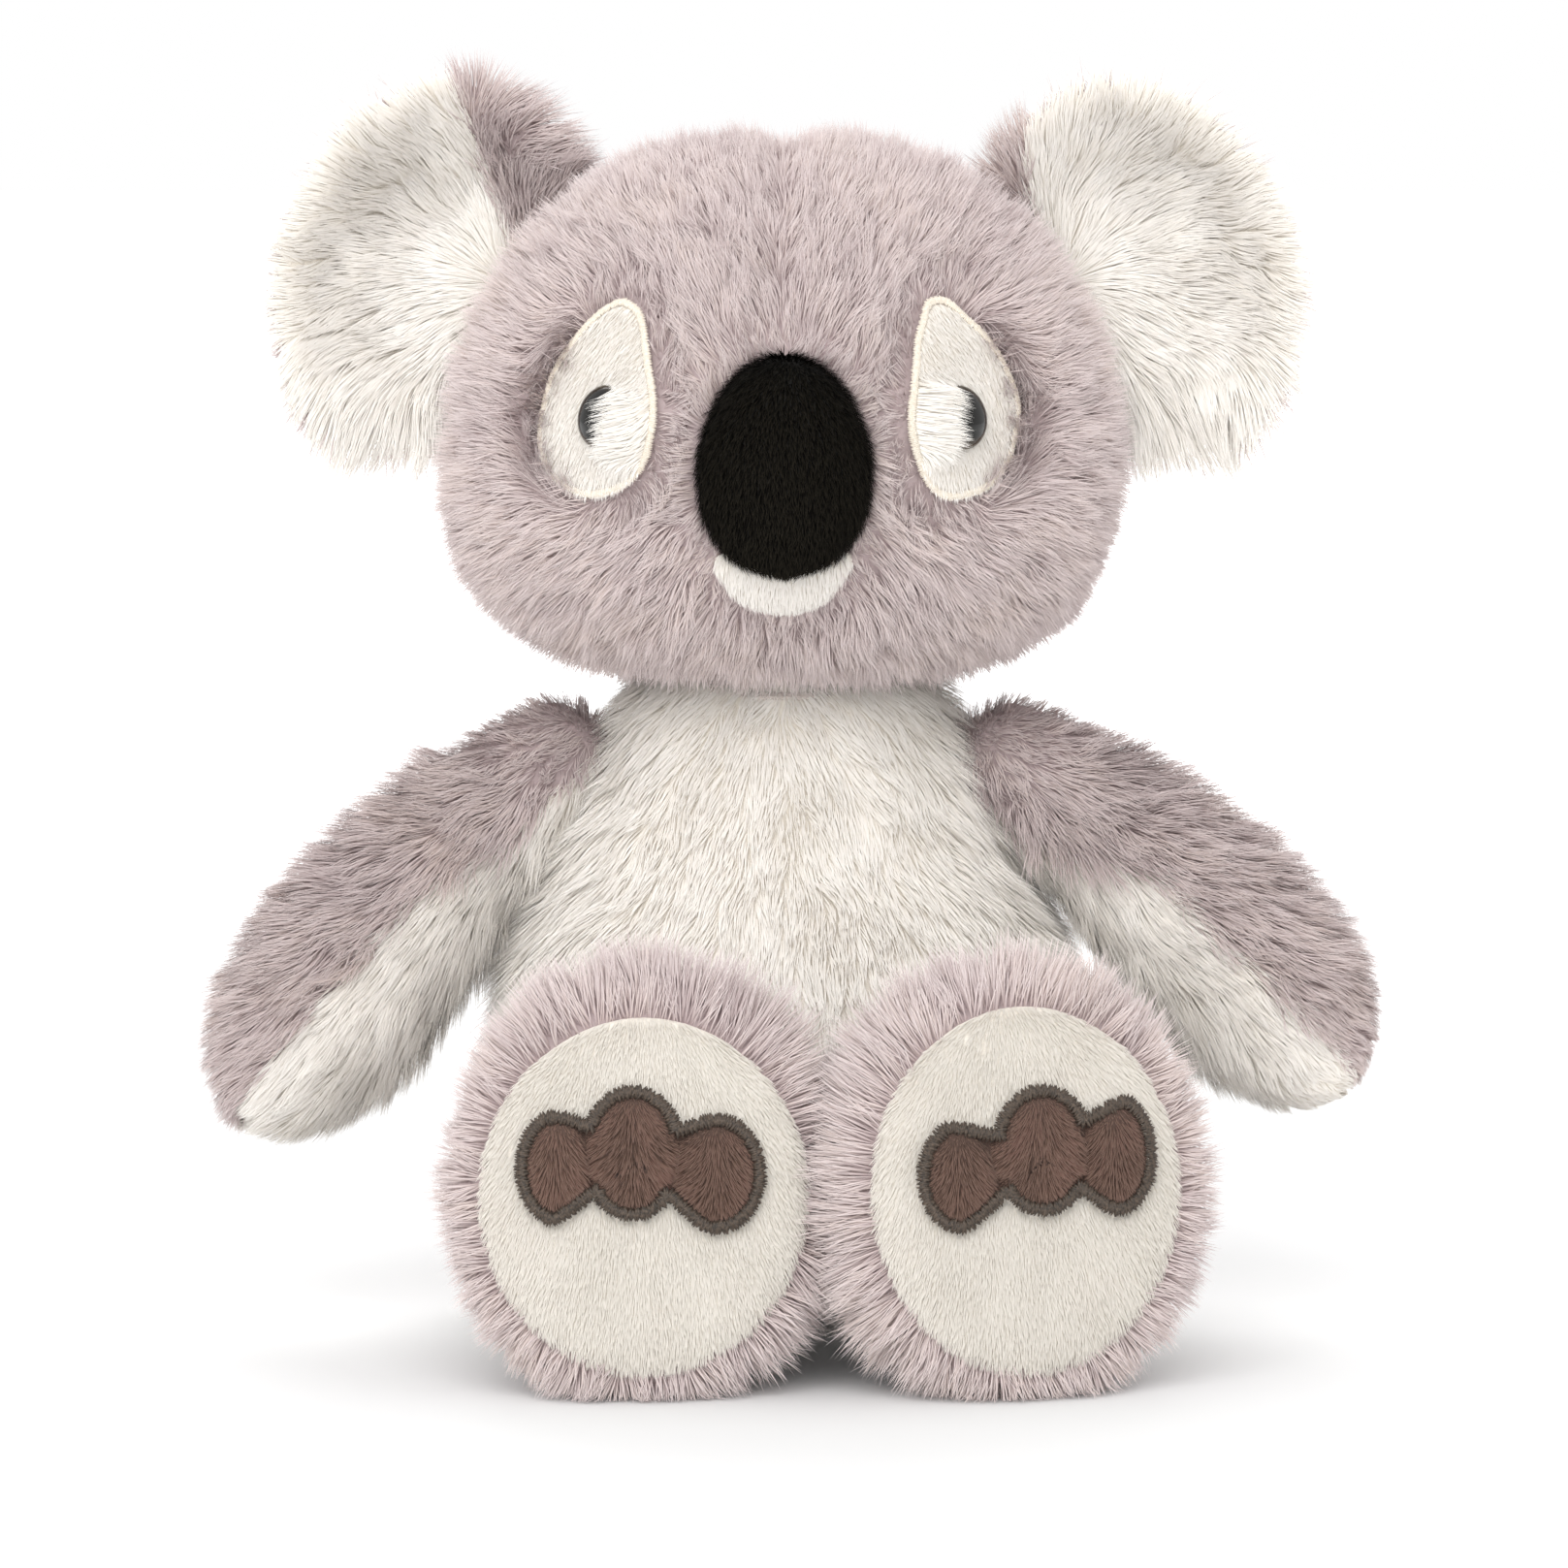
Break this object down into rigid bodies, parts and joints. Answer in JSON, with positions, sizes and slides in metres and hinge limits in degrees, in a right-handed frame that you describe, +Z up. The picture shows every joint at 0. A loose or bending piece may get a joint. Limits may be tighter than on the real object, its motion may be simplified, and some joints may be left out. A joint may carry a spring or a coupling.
{
  "type": "plush koala",
  "caption": "Sitting plush koala with a large head, round ears, hanging arms and feet held forward, sewn from plush panels over stuffing, with plastic safety eyes.",
  "frame": {"origin": "middle of the box's underside, on the surface that the toy sits on", "axes": "+Z up, -Y the way the toy faces, +X to the viewer's right as it faces the viewer"},
  "size_m": [0.2152, 0.146, 0.2317],
  "materials": {
    "black_short_plush": "short dense pile, matte",
    "brown_short_plush": "short dense pile, matte",
    "brown_thread": "satin stitched thread",
    "eye_plastic": "polished",
    "grey_plush": "long soft pile, matte",
    "polyester_stuffing": "loose fibre",
    "seam_thread": "strong sewing thread",
    "sole_plush": "soft pile, matte",
    "washer_plastic": "moulded",
    "white_plush": "long soft pile, matte",
    "white_short_plush": "short dense pile, matte"
  },
  "bodies": {
    "torso": {"torso_back": "grey_plush", "torso_belly": "white_plush", "torso_stuffing": "polyester_stuffing"},
    "neck": {"neck_seam": "seam_thread"},
    "head": {"chin_patch": "white_short_plush", "eye_left": "eye_plastic", "eye_patch_left": "white_short_plush", "eye_patch_right": "white_short_plush", "eye_right": "eye_plastic", "eye_washer_left": "washer_plastic", "eye_washer_right": "washer_plastic", "head_back": "grey_plush", "head_face_left": "grey_plush", "head_face_right": "grey_plush", "head_stuffing": "polyester_stuffing", "nose_cover": "black_short_plush", "nose_padding": "polyester_stuffing"},
    "ear_left": {"ear_front_left": "white_plush", "ear_back_left": "grey_plush"},
    "arm_left": {"arm_left_inner": "white_plush", "arm_left_outer": "grey_plush", "arm_left_stuffing": "polyester_stuffing"},
    "leg_left": {"leg_left_cover": "grey_plush", "leg_left_stuffing": "polyester_stuffing", "sole_left": "sole_plush", "toe_pads_left": "brown_short_plush", "toe_stitching_left": "brown_thread"},
    "ear_right": {"ear_front_right": "white_plush", "ear_back_right": "grey_plush"},
    "arm_right": {"arm_right_inner": "white_plush", "arm_right_outer": "grey_plush", "arm_right_stuffing": "polyester_stuffing"},
    "leg_right": {"leg_right_cover": "grey_plush", "leg_right_stuffing": "polyester_stuffing", "sole_right": "sole_plush", "toe_pads_right": "brown_short_plush", "toe_stitching_right": "brown_thread"}
  },
  "joints": [
    {"name": "neck_turn", "type": "hinge", "parent": "torso", "child": "neck", "pos_m": [-0.00232, 0.02715, 0.112], "axis": [0, 0, 1], "range_deg": [-35, 35], "stiffness_Nm_per_rad": 1},
    {"name": "head_nod", "type": "hinge", "parent": "neck", "child": "head", "pos_m": [-0.00232, 0.02715, 0.112], "axis": [1, 0, 0], "range_deg": [-10, 10], "stiffness_Nm_per_rad": 1},
    {"name": "ear_left_fold", "type": "hinge", "parent": "head", "child": "ear_left", "pos_m": [-0.05382, 0.03315, 0.193], "axis": [-0.4695, 0, -0.8829], "range_deg": [-20, 20], "stiffness_Nm_per_rad": 0.05},
    {"name": "arm_left_raise", "type": "hinge", "parent": "torso", "child": "arm_left", "pos_m": [-0.04452, 0.02515, 0.1035], "axis": [0, 1, 0], "range_deg": [-2, 40], "stiffness_Nm_per_rad": 0.3},
    {"name": "leg_left_lift", "type": "hinge", "parent": "torso", "child": "leg_left", "pos_m": [-0.03132, -0.01615, 0.0325], "axis": [-1, 0, 0], "range_deg": [-10, 18], "stiffness_Nm_per_rad": 0.3},
    {"name": "ear_right_fold", "type": "hinge", "parent": "head", "child": "ear_right", "pos_m": [0.04918, 0.03315, 0.193], "axis": [-0.4695, 0, 0.8829], "range_deg": [-20, 20], "stiffness_Nm_per_rad": 0.05},
    {"name": "arm_right_raise", "type": "hinge", "parent": "torso", "child": "arm_right", "pos_m": [0.03988, 0.02515, 0.1035], "axis": [0, -1, 0], "range_deg": [-2, 40], "stiffness_Nm_per_rad": 0.3},
    {"name": "leg_right_lift", "type": "hinge", "parent": "torso", "child": "leg_right", "pos_m": [0.02668, -0.01615, 0.0325], "axis": [-1, 0, 0], "range_deg": [-10, 18], "stiffness_Nm_per_rad": 0.3}
  ]
}
